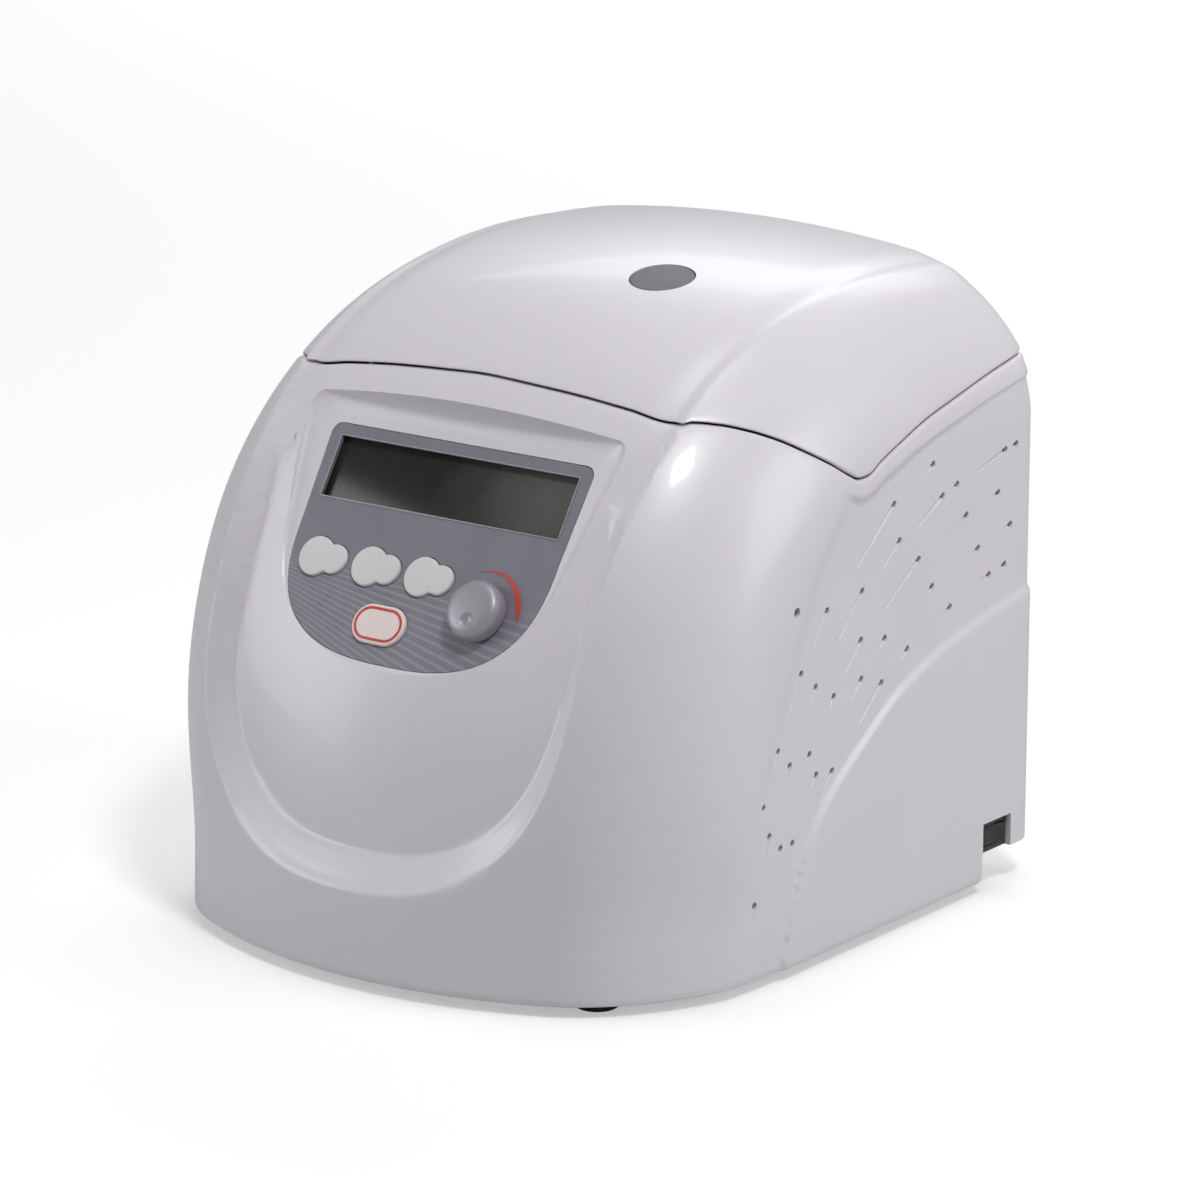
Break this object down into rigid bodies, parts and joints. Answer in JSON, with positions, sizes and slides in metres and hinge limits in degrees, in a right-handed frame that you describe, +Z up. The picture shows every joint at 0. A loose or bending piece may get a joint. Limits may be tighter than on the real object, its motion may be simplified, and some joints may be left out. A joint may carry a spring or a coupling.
{
  "type": "microcentrifuge",
  "caption": "Bench microcentrifuge: domed rear-hinged lid, sloping display panel with keys and a knob, and an angle rotor for small tubes in a steel bowl.",
  "frame": {"origin": "on the resting plane, under the middle of the whole object's box", "axes": "+Z up, -Y out of the front where the display is, +X to the operator's right"},
  "size_m": [0.286, 0.3154, 0.2821],
  "materials": {
    "shell_plastic": "satin off-white moulding with a faint lilac pearl",
    "liner_plastic": "fine matt moulding",
    "panel_plastic": "grey printed overlay, satin, with pale wave lines",
    "key_silicone": "translucent white silicone, soft matt",
    "start_silicone": "white silicone with a red ring",
    "knob_satin": "satin silver, fine turned marks on the face",
    "display_glass": "dark olive display window, glossy",
    "port_glass": "smoked clear plastic",
    "black_plastic": "fine-grained black moulding",
    "rubber": "matt black rubber",
    "steel": "fine brushed stainless steel",
    "zinc_plate": "zinc-plated sheet",
    "aluminium": "turned and anodised aluminium",
    "motor_paint": "grey enamel",
    "board": "green circuit board"
  },
  "bodies": {
    "base": {"casing": "shell_plastic", "base_pan": "zinc_plate", "foot_front_left": "rubber", "foot_front_right": "rubber", "foot_rear_left": "rubber", "foot_rear_right": "rubber", "rear_panel": "zinc_plate", "rear_screw_lower_left": "steel", "rear_screw_lower_right": "steel", "rear_screw_upper_left": "steel", "rear_screw_upper_right": "steel", "power_inlet": "black_plastic", "rotor_bowl": "steel", "bowl_gasket": "rubber", "motor_plate": "zinc_plate", "motor_body": "motor_paint", "motor_damper_1": "rubber", "motor_damper_2": "rubber", "motor_damper_3": "rubber", "power_supply": "zinc_plate", "drive_board": "board", "control_panel": "panel_plastic", "display_window": "display_glass", "display_module": "black_plastic", "control_board": "board", "knob_encoder": "black_plastic", "switch_frame": "black_plastic", "latch_housing_left": "black_plastic", "latch_housing_right": "black_plastic", "hinge_bracket_left": "steel", "hinge_bracket_right": "steel", "hinge_pin_left": "steel", "hinge_pin_right": "steel"},
    "lid": {"lid_shell": "shell_plastic", "viewing_port": "port_glass", "lid_liner": "liner_plastic", "sight_glass": "port_glass", "striker_left": "steel", "striker_right": "steel", "hinge_leaf_left": "steel", "hinge_leaf_right": "steel"},
    "rotor": {"spindle": "steel", "rotor": "aluminium"},
    "rotor_knob": {"rotor_knob": "black_plastic"},
    "latch_left": {"latch_bolt_left": "steel"},
    "latch_right": {"latch_bolt_right": "steel"},
    "switch_rocker": {"switch_rocker": "black_plastic"},
    "fuse_drawer": {"fuse_drawer": "black_plastic"},
    "key_left": {"key_left": "key_silicone"},
    "key_middle": {"key_middle": "key_silicone"},
    "key_right": {"key_right": "key_silicone"},
    "key_start": {"key_start": "start_silicone"},
    "knob": {"speed_knob": "knob_satin", "encoder_shaft": "steel"}
  },
  "joints": [
    {"name": "lid_hinge", "type": "hinge", "parent": "base", "child": "lid", "pos_m": [0, 0.15225, 0.236], "axis": [-1, 0, 0], "range_deg": [0, 75]},
    {"name": "rotor_spin", "type": "hinge", "parent": "base", "child": "rotor", "pos_m": [0, 0.04625, 0.12], "axis": [0, 0, 1], "continuous": true},
    {"name": "rotor_knob_turn", "type": "hinge", "parent": "rotor", "child": "rotor_knob", "pos_m": [0, 0.04625, 0.18], "axis": [0, 0, 1], "range_deg": [0, 360]},
    {"name": "latch_left_slide", "type": "slide", "parent": "base", "child": "latch_left", "axis": [0, 1, 0], "range_m": [0, 0.0095], "stiffness_N_per_m": 150},
    {"name": "latch_right_slide", "type": "slide", "parent": "base", "child": "latch_right", "axis": [0, 1, 0], "range_m": [0, 0.0095], "stiffness_N_per_m": 150},
    {"name": "power_rocker", "type": "hinge", "parent": "base", "child": "switch_rocker", "pos_m": [0.1408, 0.11775, 0.0239], "axis": [0, 0, 1], "range_deg": [0, 16]},
    {"name": "fuse_drawer_slide", "type": "slide", "parent": "base", "child": "fuse_drawer", "axis": [0, 1, 0], "range_m": [0, 0.018]},
    {"name": "key_left_press", "type": "slide", "parent": "base", "child": "key_left", "axis": [0, 0.8387, -0.5446], "range_m": [0, 0.001], "stiffness_N_per_m": 600},
    {"name": "key_middle_press", "type": "slide", "parent": "base", "child": "key_middle", "axis": [0, 0.8387, -0.5446], "range_m": [0, 0.001], "stiffness_N_per_m": 600},
    {"name": "key_right_press", "type": "slide", "parent": "base", "child": "key_right", "axis": [0, 0.8387, -0.5446], "range_m": [0, 0.001], "stiffness_N_per_m": 600},
    {"name": "key_start_press", "type": "slide", "parent": "base", "child": "key_start", "axis": [0, 0.8387, -0.5446], "range_m": [0, 0.001], "stiffness_N_per_m": 600},
    {"name": "speed_knob_turn", "type": "hinge", "parent": "base", "child": "knob", "pos_m": [0.039, -0.1115, 0.15617], "axis": [0, -0.8387, 0.5446], "continuous": true}
  ],
  "couplings": [
    {"joint": "latch_right_slide", "follows": "latch_left_slide", "ratio": 1}
  ]
}
